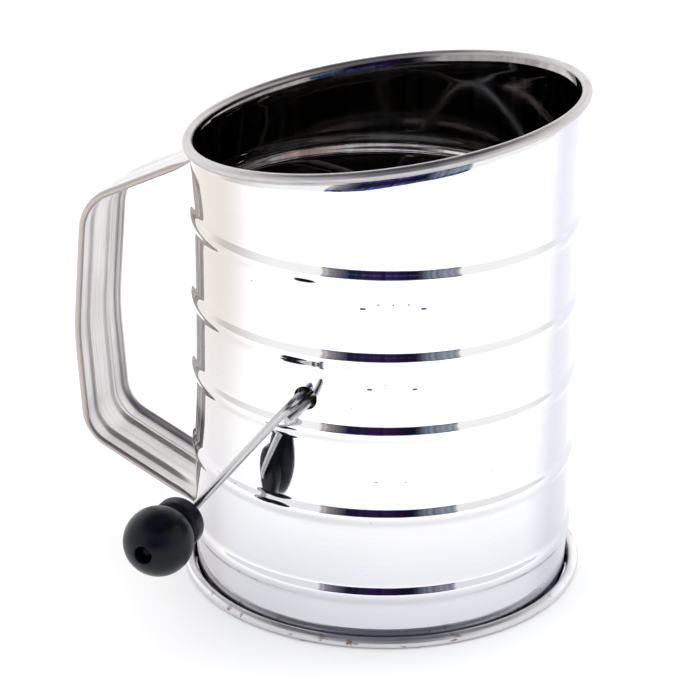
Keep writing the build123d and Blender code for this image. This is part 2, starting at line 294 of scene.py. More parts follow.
# %% Cut the windows for the crank's holes and fill each with a ring of faces round the hole
def window_patch(side, first, z_rows, inside):
    """Takes a block of faces out of the wall and joins its border to the hole's circle with rings."""
    middle = side * np.pi / 2
    cols = np.flatnonzero(np.abs(turns[0] - middle) < np.radians(5.3))
    picked = np.flatnonzero(np.abs(z_rows - axle_z) < window + 0.1)
    if inside:
        picked = len(z_rows) - 1 - picked[::-1]
    r0, r1, c0, c1 = first + picked.min(), first + picked.max(), cols.min(), cols.max()
    column = wall_faces[:, 0] % len(columns_deg)
    gone = (face_row >= r0) & (face_row < r1) & (column >= c0) & (column < c1)
    border = np.concatenate([
        wall_points[r0, c0:c1], wall_points[r0:r1, c1], wall_points[r1, c1:c0:-1], wall_points[r1:r0:-1, c0]])
    border = border[np.argsort(np.arctan2(border[:, 2] - axle_z, border[:, 0]))]
    around = np.arctan2(border[:, 2] - axle_z, border[:, 0])
    circle = hole_r * np.stack([np.cos(around), np.sin(around)], -1) + (0, axle_z)
    share = np.array([0, 0.06, 0.25, 0.6, 1.0])[:, None, None]
    flat = circle * (1 - share) + border[:, ::2] * share
    turn = middle - side * np.arcsin(flat[..., 0] / body_r)
    radius = wall_radius(turn, flat[..., 1]) - wall * inside
    ring = np.stack([flat[..., 0], side * np.sqrt(radius**2 - flat[..., 0] ** 2), flat[..., 1]], -1)
    ring[-1] = border
    return gone, ring


kept, patches = np.ones(len(wall_faces), bool), []
for side in (-1, 1):
    gone_out, ring_out = window_patch(side, first_outer, outer_z, False)
    gone_in, ring_in = window_patch(side, first_inner, inner_z, True)
    kept &= ~(gone_out | gone_in)
    patches += [(ring_out, 0), (np.stack([ring_out[0], ring_in[0]]), 1), (ring_in, 1)]
print("windows:", (~kept).sum(), "faces taken out,", len(patches), "rings put in")


# %% The wall's mesh
def joined(parts):
    """Several (points, faces) lists as one."""
    points, faces, first = [], [], 0
    for part_points, part_faces in parts:
        points.append(part_points.reshape(-1, 3))
        faces.append(part_faces + first)
        first += len(points[-1])
    return np.concatenate(points), np.concatenate(faces)


ring_parts = [(ring, grid_faces(len(ring), ring.shape[1], close_columns=True)) for ring, _ in patches]
all_points, all_faces = joined([(wall_points, wall_faces[kept])] + ring_parts)
wall_finish = np.concatenate(
    [face_finish[kept]] + [np.full(len(part[1]), number) for part, (_, number) in zip(ring_parts, patches)])
cup_wall = sheet_mesh("cup_wall", all_points, all_faces, 32, finish=wall_finish)


# %% [markdown]
# ## The handle
# The handle is a strip of the same sheet with its edges rolled under and two ribs pressed along it, so
# that it doesn't cut the hand or bend. Its ends are bent flat against the cup and tucked under the two
# rolled edges. A curve with a bevel could carry the section, but the section has to change along the
# way: the hems and ribs fade out where the ends are flattened and wrapped round the cup. So the section
# is a function of the distance along the strip, carried along a bent line.

# %% A line of straight runs with rounded corners
def bent_path(corners, bend_r, arc_points=14):
    """Straight runs joined by arcs: each corner becomes an arc of its own radius, tangent to both runs."""
    corners = np.array(corners, float)
    path = [corners[:1]]
    radii = np.broadcast_to(bend_r, len(corners) - 2)
    for before, corner, after, radius in zip(corners, corners[1:], corners[2:], radii):
        back, ahead = unit(before - corner), unit(after - corner)
        half = np.arccos(np.clip(back @ ahead, -1, 1)) / 2
        centre = corner + unit(back + ahead) * radius / np.sin(half)
        a = corner + back * radius / np.tan(half) - centre
        b = corner + ahead * radius / np.tan(half) - centre
        angle = np.arccos(np.clip(a @ b / radius**2, -1, 1))
        t = np.linspace(0, 1, arc_points)[:, None]
        path.append(centre + (np.sin((1 - t) * angle) * a + np.sin(t * angle) * b) / np.sin(angle))
    path.append(corners[-1:])
    return np.concatenate(path)


def evenly(path, step):
    """The same path with a point about every `step` millimetres."""
    reach = np.concatenate([[0], np.cumsum(np.linalg.norm(np.diff(path, axis=0), axis=1))])
    where = np.linspace(0, reach[-1], int(reach[-1] / step) + 2)
    return np.stack([np.interp(where, reach, path[:, k]) for k in range(path.shape[1])], -1), where


# %% The strap's line, section and mesh
strap_sheet, strap_half, hem_r, rib_at, rib_depth = 0.8, 14.0, 1.1, 5.4, 0.7
tab_x = -(body_r + 0.05 + strap_sheet)
rim_low_z = rim_mid_z - rim_ring_r * rim_tan
top_root_z, top_corner_z = rim_low_z - 8.9, rim_low_z - 27.8
grip_z, low_corner_z, low_root_z = 62.0, 27.9, 11.5
top_x, grip_x, low_x = -(body_r + 37.3), -(body_r + 40.6), -(body_r + 38.0)
strap_line, strap_way = evenly(bent_path([
    (tab_x, rim_low_z - 2.0), (tab_x, top_root_z), (top_x, top_corner_z), (grip_x, grip_z),
    (low_x, low_corner_z), (tab_x, low_root_z), (tab_x, foot_r + 2.0)],
    (5.0, 17.0, 90.0, 12.5, 5.0), 24), 1.0)
strap_along = unit(np.gradient(strap_line, axis=0))
strap_in = np.stack([-strap_along[:, 1], strap_along[:, 0]], -1)


def rib(y):
    """Depth of the two pressed ribs across the strap, each a squared cosine."""
    return rib_depth * np.cos(np.pi / 2 * np.clip((np.abs(y) - rib_at) / 2.3, -1, 1)) ** 2


def strap_section(hem, ribs):
    """Closed loop of (y, depth): outside face, a rolled edge, inside face, the other rolled edge."""
    across = np.linspace(-strap_half + hem_r, strap_half - hem_r, 53)[:, None]
    outer = np.stack([across + 0 * hem, 0.9 * rib(across) * ribs])
    edge = np.radians(np.linspace(-90, 165, 15))[:, None]
    right = np.stack([strap_half - hem_r + hem_r * np.cos(edge) + 0 * hem, hem * (1 + np.sin(edge))])
    inner_y = np.linspace(strap_half - 2.05 * hem_r, -strap_half + 2.05 * hem_r, 49)[:, None]
    inner = np.stack([inner_y + 0 * hem, strap_sheet + rib(inner_y) * ribs])
    left = np.stack([-right[0][::-1], right[1][::-1]])
    return np.concatenate([outer, right, inner, left], axis=1)


from_end = np.minimum(strap_way, strap_way[-1] - strap_way)[None, :]
hem = 0.42 + (hem_r - 0.42) * smooth_step((from_end - 6.5) / 9)
section = strap_section(hem, smooth_step((from_end - 9) / 12))
flat_r = -strap_line[:, 0] - section[1] * strap_in[:, 0]
strap_z = strap_line[:, 1] + section[1] * strap_in[:, 1]
wrap = smooth_step((body_r + 9 - flat_r) / 8)
swing = section[0] / np.maximum(flat_r, body_r)
strap_x = -(1 - wrap) * flat_r - wrap * flat_r * np.cos(swing)
strap_y = (1 - wrap) * section[0] + wrap * flat_r * np.sin(swing)
strap_points = np.stack([strap_x, strap_y, strap_z], -1).transpose(1, 0, 2)
caps = [np.repeat(strap_points[k].mean(axis=0)[None], strap_points.shape[1], 0)[None] for k in (0, -1)]
strap_points = np.concatenate([caps[0], strap_points, caps[1]])
strap_lay = np.stack(np.broadcast_arrays(
    section[0].T, section[1].T, strap_way[:, None]), -1)
strap_lay = np.concatenate([strap_lay[:1], strap_lay, strap_lay[-1:]])
strap = sheet_mesh(
    "handle_strap_pressed", strap_points,
    grid_faces(strap_points.shape[0], strap_points.shape[1], close_columns=True), 40, lay=strap_lay)
strap_ends = strap_points.reshape(-1, 3)
print("strap from", strap_ends.min(axis=0).round(1), "to", strap_ends.max(axis=0).round(1), "mm")

# %% [markdown]
# ## The crank and its wires
# One length of hard wire is bent into almost everything that turns: the axle under the knob, the arm,
# two strands through the holes and two bows that scrape the screen. A thinner wire makes the other two
# bows and is wound round the strands at each end. Each is a circle carried along a line. The circle is
# turned as little as possible on the way, so that the fine lines left by drawing the wire stay straight.

# %% Carry a circle along a path
def carried_frames(path):
    """Two directions square to a path at each of its points, turned as little as possible along it."""
    along = unit(np.gradient(path, axis=0))
    start = np.array([0.0, 0, 1]) if abs(along[0, 2]) < 0.9 else np.array([1.0, 0, 0])
    side = np.zeros_like(path)
    side[0] = unit(np.cross(along[0], start))
    for k in range(1, len(path)):
        side[k] = unit(side[k - 1] - along[k] * (side[k - 1] @ along[k]))
    return side, np.cross(along, side)


def tube(path, radii, sides=20):
    """Points, faces and lay of a round wire: a circle of its own radius at each point of the path; an end is
    closed only where its radius is tiny and the doubles are merged. The lay is (cosine, sine, distance
    along), for a finish that runs along the wire."""
    side, up = carried_frames(path)
    turn = np.linspace(0, 2 * np.pi, sides, endpoint=False)
    ring = np.cos(turn)[None, :, None] * side[:, None] + np.sin(turn)[None, :, None] * up[:, None]
    points = path[:, None] + np.asarray(radii)[:, None, None] * ring
    reach = np.concatenate([[0], np.cumsum(np.linalg.norm(np.diff(path, axis=0), axis=1))])
    lay = np.stack(np.broadcast_arrays(np.cos(turn)[None], np.sin(turn)[None], reach[:, None]), -1)
    return points.reshape(-1, 3), grid_faces(len(path), sides, close_columns=True), lay.reshape(-1, 3)


def cut_wire(path, radius, chamfer=0.25):
    """A wire's path and radii with both cut ends slightly rounded and closed at a point."""
    along = unit(np.gradient(path, axis=0))
    share, shrink = np.array([0, 0.02, 0.35, 1.0]), np.array([0.001, radius - chamfer, radius - 0.07, radius])
    first = path[0] + along[0] * chamfer * share[:, None]
    last = path[-1] - along[-1] * chamfer * share[::-1, None]
    radii = np.concatenate([shrink, np.full(len(path) - 2, radius), shrink[::-1]])
    return np.concatenate([first, path[1:-1], last]), radii


def joined_wires(wires):
    """Several wires as one (points, faces, lay)."""
    points, faces = joined([(wire[0], wire[1]) for wire in wires])
    return points, faces, np.concatenate([wire[2] for wire in wires])


# %% The crank wire
wire_r, cross_r, pair_offset, loop_deg = 1.25, 1.0, 1.35, 135.0
bow_half, bow_bend = 46.0, 4.15
strand_end, elbow_y, hairpin_y = bow_half + bow_bend, -(body_r + 7.8), body_r + 3.6
knob_x, knob_y, knob_z = knob_centre
washer_y = knob_y - 6.5


def in_loop(direction_deg, y, reach):
    """Points at y along the crank's axis and at a reach from it in one direction."""
    turn = np.radians(direction_deg)
    y, reach = np.broadcast_arrays(np.asarray(y, float), np.asarray(reach, float))
    return np.stack([reach * np.cos(turn), y, axle_z + reach * np.sin(turn)], -1)


def loop_arc(direction_deg, y, reach, radius, start_deg, end_deg, count):
    """An arc in the plane of a bow, its angles measured up from the crank's axis."""
    turn = np.radians(np.linspace(start_deg, end_deg, count))
    return in_loop(direction_deg, y + radius * np.cos(turn), reach + radius * np.sin(turn))


def bow(direction_deg):
    """A bow of the crank wire: a bend, half a circle and another bend."""
    reach = pair_offset + bow_bend
    return np.concatenate([
        loop_arc(direction_deg, -strand_end, reach, bow_bend, -90, 0, 12)[:-1],
        loop_arc(direction_deg, 0, reach, bow_half, 180, 0, 90),
        loop_arc(direction_deg, strand_end, reach, bow_bend, 180, 270, 12)[1:]])


arm = bent_path([
    (knob_x, washer_y, knob_z), (knob_x, elbow_y - 2.5, knob_z), in_loop(loop_deg, elbow_y, pair_offset),
    in_loop(loop_deg, elbow_y + 6.4, pair_offset)], 3.2, 16)
wire_line = np.concatenate([
    arm, bow(loop_deg), in_loop(loop_deg, [strand_end + 0.4, hairpin_y - 0.4], pair_offset),
    loop_arc(loop_deg, hairpin_y, 0, pair_offset, 90, -90, 14),
    in_loop(loop_deg, [hairpin_y - 0.4, strand_end + 0.4], -pair_offset),
    bow(loop_deg + 180)[::-1], in_loop(loop_deg, [-strand_end - 0.4, -(body_r + 14.0)], -pair_offset)])
line, radii = cut_wire(wire_line, wire_r)
head_way = np.array([1.1, 1.095, 0.95, 0.55, 0.15, 0.0])
head_line = np.stack([0 * head_way + knob_x, washer_y - head_way, 0 * head_way + knob_z], -1)
head = tube(head_line, np.array([0.001, 0.9, 1.45, 1.85, 1.9, 1.2]), 20)
wire = tube(line, radii, 24)
points, faces, lay = joined_wires([wire, head])
on_head = np.arange(len(faces)) >= len(wire[1])
crank = sheet_mesh("crank_wire_bent", points, faces, 50, finish=on_head, lay=lay)

# %% The second wire: two arcs, and its turns round the pair of strands
wrap_r, wrap_y, bow_reach = 3.7, strand_end + cross_r, 51.5
rise = bow_reach - wrap_r
cross_radius = (wrap_y**2 + rise**2) / (2 * rise)
half_deg = np.degrees(np.arcsin(wrap_y / cross_radius))
if rise > cross_radius:
    half_deg = 180 - half_deg
cross_wires = []
for direction in (loop_deg - 90, loop_deg + 90):
    sweep = loop_arc(direction, 0, bow_reach - cross_radius, cross_radius, 90 + half_deg, 90 - half_deg, 110)
    cross_wires.append(tube(*cut_wire(sweep, cross_r), 16))
for side in (-1, 1):
    turn = np.linspace(0, 4.5 * np.pi, 140) + np.radians(loop_deg - 90)
    y = side * (wrap_y - 0.1 + 2.0 * np.linspace(0, 1, len(turn)))
    coil = np.stack([wrap_r * np.cos(turn), y, axle_z + wrap_r * np.sin(turn)], -1)
    cross_wires.append(tube(*cut_wire(coil, cross_r), 16))
points, faces, lay = joined_wires(cross_wires)
cross = sheet_mesh("cross_wire_bent", points, faces, 50, lay=lay)

# %% [markdown]
# ## The knob
# The knob is turned or moulded black plastic: a ball on a round-edged collar, bored through, with a
# recess in its end for the washer and the hammered head of the axle. Everything on it is round, so it is
# one profile turned about the axle. A lathe modifier would do the same; the formula keeps the small
# radii at the edges, which catch the light, exactly where they belong.

# %% The knob's profile and mesh
ball_r, collar_r, collar_fillet, neck_r, bore_r, recess_r = 10.0, 7.5, 1.9, 5.9, 1.5, 2.6
collar_back, collar_front, recess_floor = -15.0, -8.4, 5.8
neck_deg = -np.degrees(np.arccos(neck_r / ball_r))
mouth_deg = np.degrees(np.arccos((recess_r + 0.35) / ball_r))
knob_profile = np.concatenate([
    [[bore_r, collar_back + 0.2], [bore_r + 0.2, collar_back], [3.6, collar_back]],
    arc((collar_r - collar_fillet, collar_back + collar_fillet), collar_fillet, -90, 0, 12),
    arc((collar_r - collar_fillet, collar_front - collar_fillet), collar_fillet, 0, 84, 12),
    arc((0, 0), ball_r, neck_deg, mouth_deg, 64),
    arc((recess_r + 0.35, 9.2), 0.35, 65, 180, 6), [[recess_r, 8.0], [recess_r, recess_floor + 0.2]],
    [[recess_r - 0.2, recess_floor], [bore_r + 0.1, recess_floor], [bore_r, recess_floor - 0.1]]])
knob_turns = np.radians(np.linspace(0, 360, 96, endpoint=False))[:, None]
radius, out = knob_profile[None, :, 0], knob_profile[None, :, 1]
knob_points = knob_centre + np.stack(
    [radius * np.cos(knob_turns), -out + 0 * knob_turns, radius * np.sin(knob_turns)], -1)
knob_faces = grid_faces(96, len(knob_profile), close_rows=True, close_columns=True)
knob = sheet_mesh("knob_turned", knob_points, knob_faces, 35)

# %% [markdown]
# ## The woven screen
# The screen is a dome of woven wire cloth. A weave painted on with bump would look flat through the
# mouth, so each wire is made: warp wires run one way, weft wires the other, and each goes over and under
# in turn, with a cosine along its length. Two families of arcs cross on the dome nearly square to each
# other. Hundreds of wires have to stay light, so each is a four-sided tube.

# %% Wires of the cloth
cloth_r, cloth_pitch, strand_r = 54.5, 1.75, 0.17
net_limit, cloth_top_z = 1.42, axle_z - 9.2


def cloth_wires(name, swap):
    """Wires i at angle a, points k at angle b: x = sin a (1 + cos b) / 2 and y = sin b (1 + cos a) / 2 on a
    unit dome, moved in and out by a cosine of b whose sign changes from wire to wire."""
    step = cloth_pitch / cloth_r
    count = int(net_limit / step)
    a = (np.arange(-count, count + 1) * step)[:, None]
    b = (np.arange(-3 * count, 3 * count + 1) * step / 3)[None, :]
    x, y = np.sin(a) * (1 + np.cos(b)) / 2, np.sin(b) * (1 + np.cos(a)) / 2
    down = np.sqrt(np.clip(1 - x**2 - y**2, 0, None))
    out = np.stack([x, y, -down] if not swap else [y, x, -down], -1)
    sign = np.where(np.arange(len(a)) % 2, 1.0, -1.0)[:, None] * (-1 if swap else 1)
    reach = cloth_r + strand_r * sign * np.cos(np.pi * b / step)
    middle = out * reach[..., None] + (0, 0, axle_z)
    along = unit(np.gradient(middle, axis=1))
    side = np.cross(out, along)
    ring = np.stack([out, side, -out, -side], 2) * strand_r
    points = middle[:, :, None] + ring
    per_wire = grid_faces(b.shape[1], 4, close_columns=True)
    faces = (per_wire[None] + (np.arange(len(a)) * b.shape[1] * 4)[:, None, None]).reshape(-1, 4)
    flat_points = points.reshape(-1, 3)
    faces = faces[(flat_points[faces][..., 2] < cloth_top_z).all(axis=1)]
    used, renumbered = np.unique(faces, return_inverse=True)
    return sheet_mesh(name, flat_points[used], renumbered.reshape(-1, 4), 89)


warp = cloth_wires("screen_cloth_warp", False)
weft = cloth_wires("screen_cloth_weft", True)


# %% [markdown]
# ## Finishes
# The cup is polished to a mirror, so its finish is almost all reflection: a metal with very low
# roughness, broken by faint rolling lines round the cup, fine scratches and a few specks. The handle is
# the same steel left satin. Every pattern is worked out from the object's own coordinates, or from the
# `lay` of a wire or strip, so that it stays on the metal when the crank turns.

# %% Helpers for node materials
def node(tree, kind, inputs=None, **settings):
    """Adds a node: settings are its own options, inputs are numbers, colours or other nodes' outputs."""
    made = tree.nodes.new(kind)
    for key, value in settings.items():
        setattr(made, key, value)
    for key, value in (inputs or {}).items():
        if isinstance(value, bpy.types.NodeSocket):
            tree.links.new(value, made.inputs[key])
        else:
            made.inputs[key].default_value = value
    return made


def new_finish(name, **constants):
    """A material with its Principled shader; constants are set straight on the shader's own sockets."""
    material = bpy.data.materials.new(name)
    material.use_nodes = True
    shader = material.node_tree.nodes["Principled BSDF"]
    for key, value in constants.items():
        shader.inputs[key.replace("_", " ")].default_value = value
    return material, material.node_tree, shader


def stretched_noise(tree, vector, scale, **inputs):
    """Noise drawn out along the directions in which the scale is small."""
    placed = node(tree, "ShaderNodeMapping", {"Vector": vector, "Scale": scale})
    return node(tree, "ShaderNodeTexNoise", {"Vector": placed.outputs[0], **inputs}).outputs["Fac"]


def ramp(tree, factor, *stops):
    """A colour ramp from (position, colour) stops."""
    made = node(tree, "ShaderNodeValToRGB", {"Fac": factor})
    stretch = made.color_ramp.elements
    stretch[0].position, stretch[0].color = stops[0][0], (*stops[0][1], 1)
    stretch[1].position, stretch[1].color = stops[-1][0], (*stops[-1][1], 1)
    for position, colour in stops[1:-1]:
        stretch.new(position).color = (*colour, 1)
    return made.outputs["Color"]


def between(tree, value, low, high, to_low=0.0, to_high=1.0):
    """A value carried from one range to another with level ends."""
    return node(tree, "ShaderNodeMapRange", {
        "Value": value, "From Min": low, "From Max": high, "To Min": to_low, "To Max": to_high},
        interpolation_type="SMOOTHSTEP").outputs[0]


def blend_colour(tree, factor, first, second, mode="MIX"):
    """Two colours mixed by a factor."""
    made = node(tree, "ShaderNodeMix", data_type="RGBA", blend_type=mode)
    for socket, value in zip((made.inputs[0], made.inputs[6], made.inputs[7]), (factor, first, second)):
        if isinstance(value, bpy.types.NodeSocket):
            tree.links.new(value, socket)
        else:
            socket.default_value = (*value, 1) if isinstance(value, tuple) else value
    return made.outputs[2]


def own_coordinates(tree):
    """The object's own coordinates, in metres."""
    return node(tree, "ShaderNodeTexCoord").outputs["Object"]


def maths(tree, operation, *values):
    """One step of arithmetic on sockets or numbers."""
    return node(tree, "ShaderNodeMath", dict(enumerate(values)), operation=operation).outputs[0]


def product(tree, *values):
    """Several values multiplied together."""
    result = values[0]
    for value in values[1:]:
        result = maths(tree, "MULTIPLY", result, value)
    return result


def rust_spots(tree, where, height, up_to, scale, least, most):
    """1 on scattered spots near the table, up to a height in metres, and 0 elsewhere."""
    spots = stretched_noise(tree, where, scale, Scale=1.0, Detail=3.0)
    return product(tree, between(tree, height, up_to, 0.001), between(tree, spots, least, most))


# %% Polished steel, outside
# The tint is a painted reflection of the colours of a real room, which the plain light here lacks: warm by
# the handle, cooler low down and round the far sides.
polished, tree, shader = new_finish("polished_steel", Metallic=1.0)
where = own_coordinates(tree)
place = node(tree, "ShaderNodeSeparateXYZ", {"Vector": where})
height = place.outputs["Z"]
clouds = stretched_noise(tree, where, (14, 14, 9), Scale=1.0, Detail=2.0)
lines = stretched_noise(tree, where, (25, 25, 1900), Scale=1.0, Detail=3.0, Roughness=0.7)
upright = stretched_noise(tree, where, (900, 900, 14), Scale=1.0, Detail=2.0)
specks = stretched_noise(tree, where, (420, 420, 420), Scale=1.0, Detail=1.0)
tint = ramp(
    tree, clouds, (0.30, (0.93, 0.935, 0.955)), (0.5, (0.955, 0.955, 0.96)), (0.7, (0.965, 0.955, 0.945)))
# Painted reflections, placed on the cup: warm by the handle, grey on that side, cooler low down, bluish on
# the far side, greyer at the back.
warm_painted_reflection = product(tree, between(tree, place.outputs["X"], -0.008, -0.032), between(tree, height, 0.03, 0.11))
near_side_painted_reflection = between(tree, place.outputs["X"], -0.016, -0.036, 0.0, 0.9)
tint = blend_colour(tree, near_side_painted_reflection, tint, (0.64, 0.625, 0.64))
tint = blend_colour(tree, warm_painted_reflection, tint, (0.60, 0.55, 0.51))
cool_painted_reflection = between(tree, height, 0.085, 0.0, 0.0, 0.95)
tint = blend_colour(tree, cool_painted_reflection, tint, (0.74, 0.745, 0.79), "DARKEN")
far_side_painted_reflection = product(
    tree, between(tree, place.outputs["Y"], -0.020, -0.004), between(tree, place.outputs["X"], 0.02, 0.04))
tint = blend_colour(tree, far_side_painted_reflection, tint, (0.60, 0.61, 0.67), "DARKEN")
back_side_painted_reflection = between(tree, place.outputs["Y"], 0.004, 0.03)
tint = blend_colour(tree, back_side_painted_reflection, tint, (0.70, 0.70, 0.735), "DARKEN")
fine = between(tree, lines, 0.25, 0.75, 0.965, 1.0)
tint = blend_colour(tree, 1.0, tint, fine, "MULTIPLY")
dirt = between(tree, specks, 0.79, 0.84)
tint = blend_colour(tree, dirt, tint, (0.35, 0.33, 0.32))
rust = rust_spots(tree, where, height, 0.0045, (260, 260, 500), 0.62, 0.70)
tint = blend_colour(tree, rust, tint, (0.16, 0.07, 0.03))
tree.links.new(tint, shader.inputs["Base Color"])
dullness = maths(tree, "ADD", between(tree, upright, 0.3, 0.8, 0.02, 0.06), rust)
tree.links.new(dullness, shader.inputs["Roughness"])
relief = node(tree, "ShaderNodeBump", {"Height": lines, "Strength": 0.04, "Distance": 0.0001})
tree.links.new(relief.outputs[0], shader.inputs["Normal"])

# %% Rolled edges
# The mouth's roll is dulled by hands. The foot's is painted brighter and faintly lavender, a painted
# reflection, with a few rust spots where it stays wet.
rolled, tree, shader = new_finish("rolled_edge_steel", Metallic=1.0)
where = own_coordinates(tree)
height = node(tree, "ShaderNodeSeparateXYZ", {"Vector": where}).outputs["Z"]
clouds = stretched_noise(tree, where, (90, 90, 90), Scale=1.0, Detail=3.0)
lines = stretched_noise(tree, where, (30, 30, 2600), Scale=1.0, Detail=3.0, Roughness=0.7)
tint = ramp(tree, clouds, (0.3, (0.50, 0.485, 0.495)), (0.7, (0.64, 0.61, 0.60)))
tint = blend_colour(tree, 1.0, tint, between(tree, lines, 0.25, 0.75, 0.82, 1.0), "MULTIPLY")
# Painted reflection: the foot's roll is painted brighter and faintly lavender.
tint = blend_colour(tree, between(tree, height, 0.012, 0.006), tint, (0.74, 0.73, 0.75))
rust = rust_spots(tree, where, height, 0.0042, (230, 230, 420), 0.63, 0.70)
tint = blend_colour(tree, rust, tint, (0.20, 0.085, 0.03))
tree.links.new(tint, shader.inputs["Base Color"])
tree.links.new(between(tree, clouds, 0.3, 0.7, 0.34, 0.48), shader.inputs["Roughness"])
relief = node(tree, "ShaderNodeBump", {"Height": lines, "Strength": 0.12, "Distance": 0.0001})
tree.links.new(relief.outputs[0], shader.inputs["Normal"])

# %% The inside of the cup
# Painted dark, a painted shade over the whole inside, apart from a painted highlight on the top bead, where
# it catches the light from the mouth, and a reddish painted reflection towards +X.
inside, tree, shader = new_finish("inside_steel_painted_shade", Metallic=1.0)
where = own_coordinates(tree)
clouds = stretched_noise(tree, where, (20, 20, 12), Scale=1.0, Detail=3.0)
upright = stretched_noise(tree, where, (260, 260, 6), Scale=1.0, Detail=4.0, Roughness=0.65)
# Painted shade: the inside steel is given a dark grey base colour.
tint = ramp(tree, clouds, (0.3, (0.34, 0.33, 0.33)), (0.7, (0.44, 0.42, 0.41)))
place = node(tree, "ShaderNodeSeparateXYZ", {"Vector": where})
# Painted highlight: a ring at the top bead inside is painted near-white.
ring_z = bead_z[4] * MM
ring_painted_highlight = product(
    tree, between(tree, place.outputs["Z"], ring_z - 0.0045, ring_z - 0.0025),
    between(tree, place.outputs["Z"], ring_z + 0.0045, ring_z + 0.0025))
# Painted reflection: a reddish tint on the +X side of the inside.
reddish_painted_reflection = between(tree, place.outputs["X"], 0.044, 0.054, 0.0, 0.5)
tint = blend_colour(tree, reddish_painted_reflection, tint, (0.36, 0.20, 0.15))
tint = blend_colour(tree, ring_painted_highlight, tint, (0.90, 0.90, 0.90))
tint = blend_colour(tree, 1.0, tint, between(tree, upright, 0.3, 0.75, 0.75, 1.1), "MULTIPLY")
tree.links.new(tint, shader.inputs["Base Color"])
tree.links.new(between(tree, upright, 0.3, 0.8, 0.04, 0.12), shader.inputs["Roughness"])
relief = node(tree, "ShaderNodeBump", {"Height": upright, "Strength": 0.1, "Distance": 0.0001})
tree.links.new(relief.outputs[0], shader.inputs["Normal"])


# %% Steels with a grain along the strip or wire
def drawn_steel(name, light, dark, rough, grain, bump, use_lay=True, browner_from=None):
    """Steel whose grain runs along the third direction of the lay: fine across it, long along it. The strip's
    edges are browner beyond `browner_from`, in millimetres from its middle line."""
    material, tree, shader = new_finish(name, Metallic=1.0)
    if use_lay:
        where = node(tree, "ShaderNodeAttribute", attribute_name="lay").outputs["Vector"]
    else:
        where = own_coordinates(tree)
    streaks = stretched_noise(tree, where, grain, Scale=1.0, Detail=3.0, Roughness=0.6)
    clouds = stretched_noise(tree, own_coordinates(tree), (45, 45, 45), Scale=1.0, Detail=3.0)
    tint = ramp(tree, streaks, (0.3, dark), (0.7, light))
    tint = blend_colour(tree, 1.0, tint, between(tree, clouds, 0.25, 0.75, 0.86, 1.0), "MULTIPLY")
    # The strip's rolled edges are browner and darker beyond this distance from its middle line.
    if browner_from:
        across_strip = node(tree, "ShaderNodeSeparateXYZ", {"Vector": where}).outputs["X"]
        from_middle = maths(tree, "ABSOLUTE", across_strip)
        browner_edge = between(tree, from_middle, browner_from, browner_from + 0.6, 0.0, 0.85)
        tint = blend_colour(tree, browner_edge, tint, (0.47, 0.41, 0.375))
    tree.links.new(tint, shader.inputs["Base Color"])
    tree.links.new(between(tree, streaks, 0.2, 0.8, rough[0], rough[1]), shader.inputs["Roughness"])
    relief = node(tree, "ShaderNodeBump", {"Height": streaks, "Strength": bump, "Distance": 0.0002})
    tree.links.new(relief.outputs[0], shader.inputs["Normal"])
    return material


satin = drawn_steel(
    "satin_steel", (0.81, 0.795, 0.79), (0.56, 0.545, 0.54), (0.30, 0.44), (1.1, 1.1, 0.03), 0.2,
    browner_from=strap_half - hem_r)
bright = drawn_steel(
    "bright_wire", (0.78, 0.77, 0.775), (0.36, 0.345, 0.35), (0.20, 0.34), (2.2, 2.2, 0.03), 0.2)
# Painted shade: the bows inside the cup are painted near-black.
painted_shade_wire = drawn_steel(
    "bow_wire_painted_shade", (0.12, 0.105, 0.095), (0.06, 0.052, 0.047), (0.3, 0.45), (2.2, 2.2, 0.03), 0.2)
# Painted shade: the screen's cloth is painted dark grey, as is the rest of the inside of the cup.
woven = drawn_steel(
    "woven_wire", (0.13, 0.125, 0.12), (0.07, 0.068, 0.066), (0.25, 0.45), (900, 900, 900), 0.1, False)
# Painted shade: the hoop inside the cup is painted dark grey.
hoop_steel = drawn_steel(
    "hoop_steel", (0.36, 0.35, 0.34), (0.24, 0.235, 0.23), (0.12, 0.25), (300, 300, 900), 0.1, False)
# Painted shade: the washer and the axle's head, in the knob's recess, are painted near-black.
washer_steel = drawn_steel(
    "washer_steel", (0.014, 0.013, 0.012), (0.008, 0.007, 0.007), (0.35, 0.5), (600, 600, 600), 0.2, False)

# %% Black plastic
black, tree, shader = new_finish("black_plastic", Metallic=0.0, Specular_IOR_Level=0.2)
where = own_coordinates(tree)
grain = stretched_noise(tree, where, (700, 700, 700), Scale=1.0, Detail=3.0)
wear_and_painted_sheen = stretched_noise(tree, where, (120, 120, 120), Scale=1.0, Detail=4.0)
# Painted sheen: the base colour turns bluer in patches, standing for a bluish sheen; the same patches vary
# the roughness.
tint = ramp(tree, wear_and_painted_sheen, (0.35, (0.0008, 0.0014, 0.0030)), (0.75, (0.0022, 0.0042, 0.0090)))
tree.links.new(tint, shader.inputs["Base Color"])
tree.links.new(between(tree, wear_and_painted_sheen, 0.3, 0.8, 0.26, 0.42), shader.inputs["Roughness"])
relief = node(tree, "ShaderNodeBump", {"Height": grain, "Strength": 0.12, "Distance": 0.0001})
tree.links.new(relief.outputs[0], shader.inputs["Normal"])
print("finishes:", ", ".join(sorted(m.name for m in bpy.data.materials)))

# %% [markdown]
# ## Each piece gets its finish and its body, and hides the CAD part it replaces
# Nothing is parented by hand: each new piece says which CAD body it moves with and which CAD node it
# stands for. The hoop and the washer keep their CAD meshes and get a better finish.

